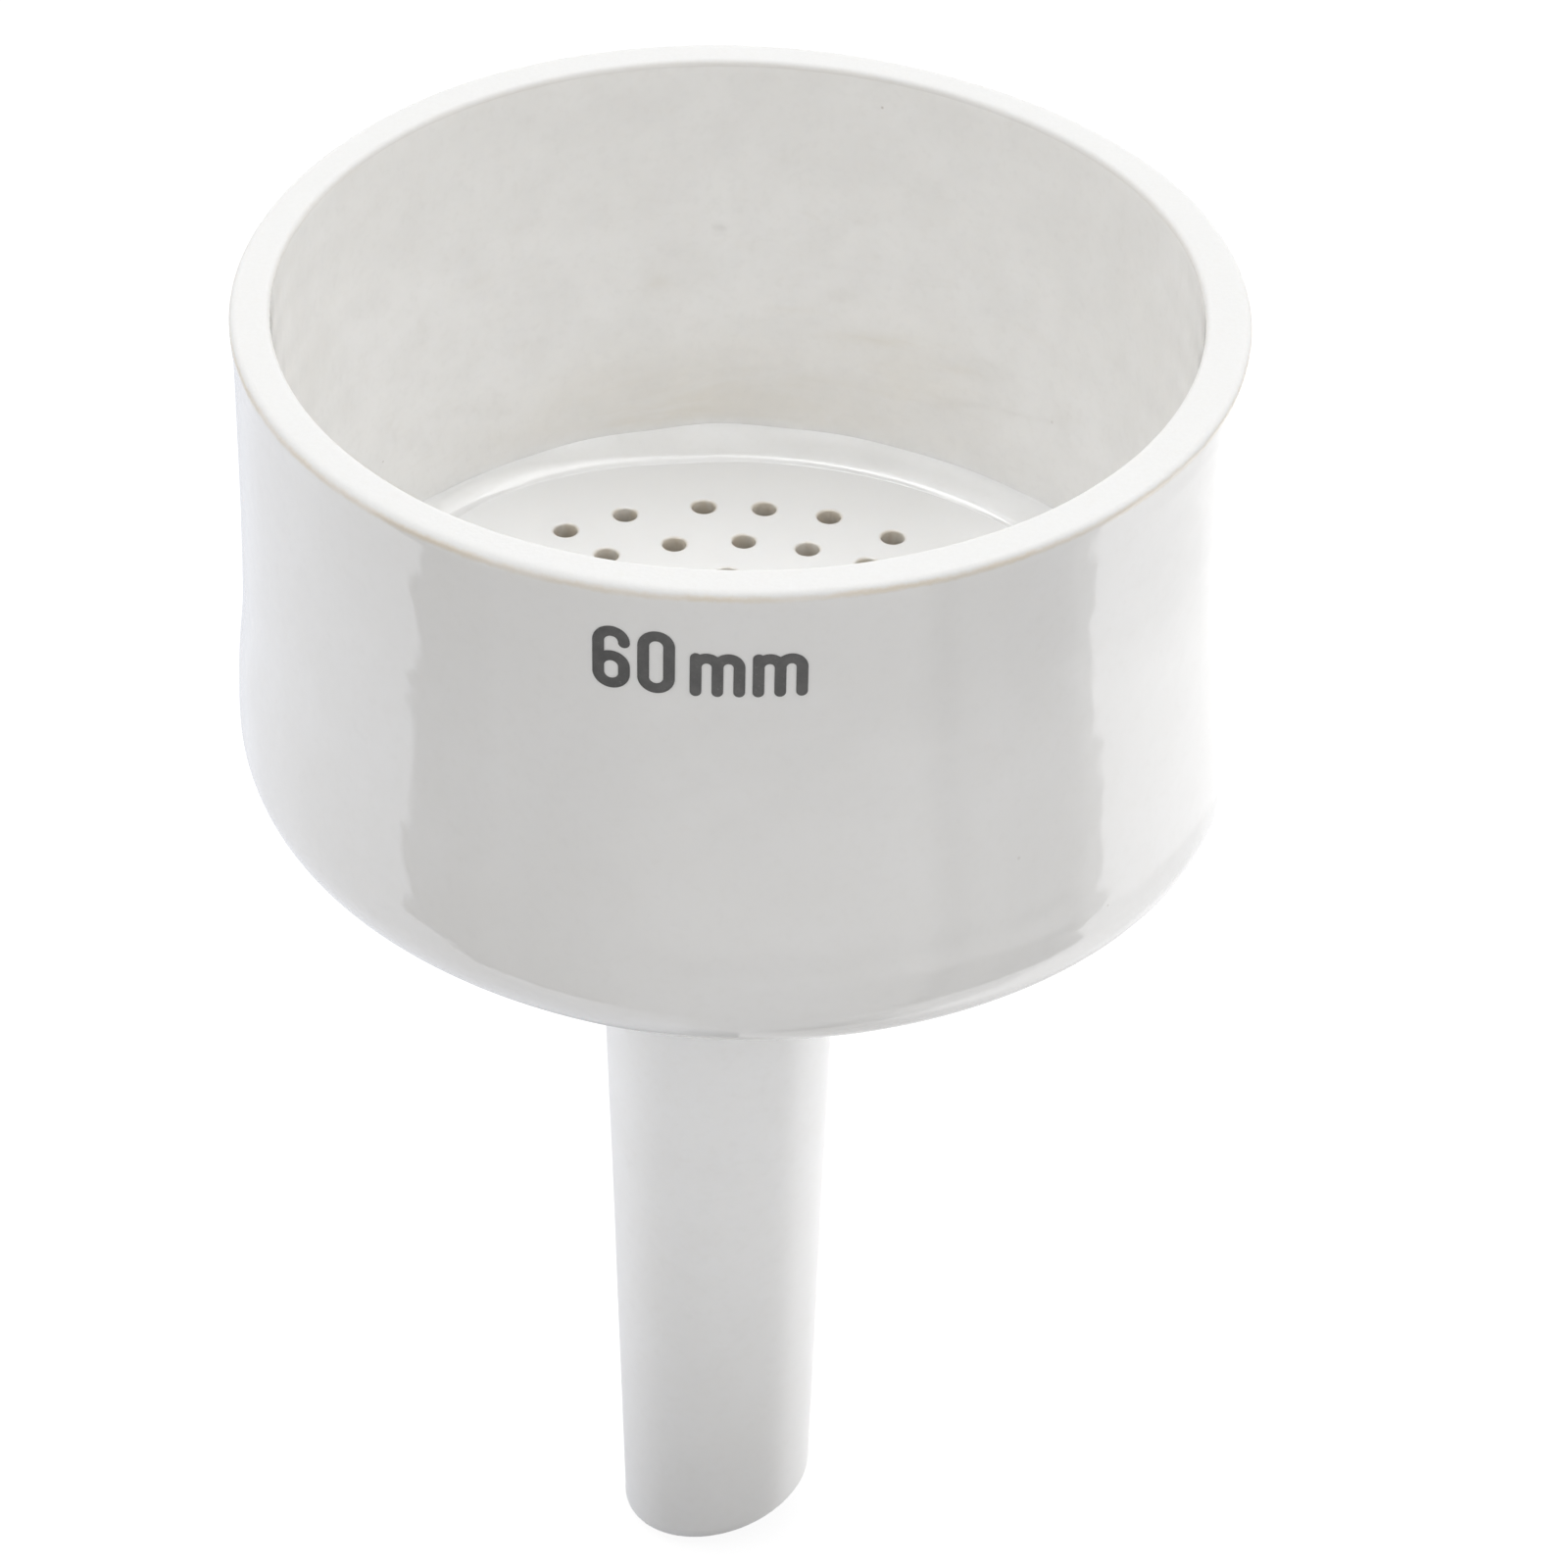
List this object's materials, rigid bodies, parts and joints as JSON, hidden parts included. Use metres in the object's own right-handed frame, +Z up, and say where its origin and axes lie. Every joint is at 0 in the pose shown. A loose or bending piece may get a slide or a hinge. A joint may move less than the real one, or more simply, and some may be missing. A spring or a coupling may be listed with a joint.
{
  "type": "buchner funnel",
  "caption": "Glazed porcelain filter funnel: straight-sided cup with a flat perforated plate inside, dished underside and a tapered stem with a bevelled tip.",
  "frame": {"origin": "on the funnel's axis, at the level of the lowest point of the stem tip", "axes": "+Z up along the axis, from the stem tip to the rim; -Y is the side with the size mark; the low side of the tip's bevel points to -X"},
  "size_m": [0.0662, 0.0662, 0.102],
  "materials": {
    "glazed_body": "clear glossy glaze over white porcelain, bare matt bisque on the rim land",
    "glazed_plate": "clear glossy glaze over white porcelain",
    "glazed_fillet": "clear glossy glaze over a hand-smoothed slip fillet",
    "glazed_stem": "clear glossy glaze over white porcelain",
    "luting_slip": "unglazed fired slip inside the joints",
    "fired_mark": "dark grey fired-on ceramic colour"
  },
  "bodies": {
    "root": {"bowl": "glazed_body", "filter_plate": "glazed_plate", "plate_bedding_slip": "luting_slip", "plate_fillet_slip": "glazed_fillet", "stem": "glazed_stem", "stem_bedding_slip": "luting_slip", "stem_fillet_slip": "glazed_fillet", "size_mark": "fired_mark"}
  },
  "joints": []
}
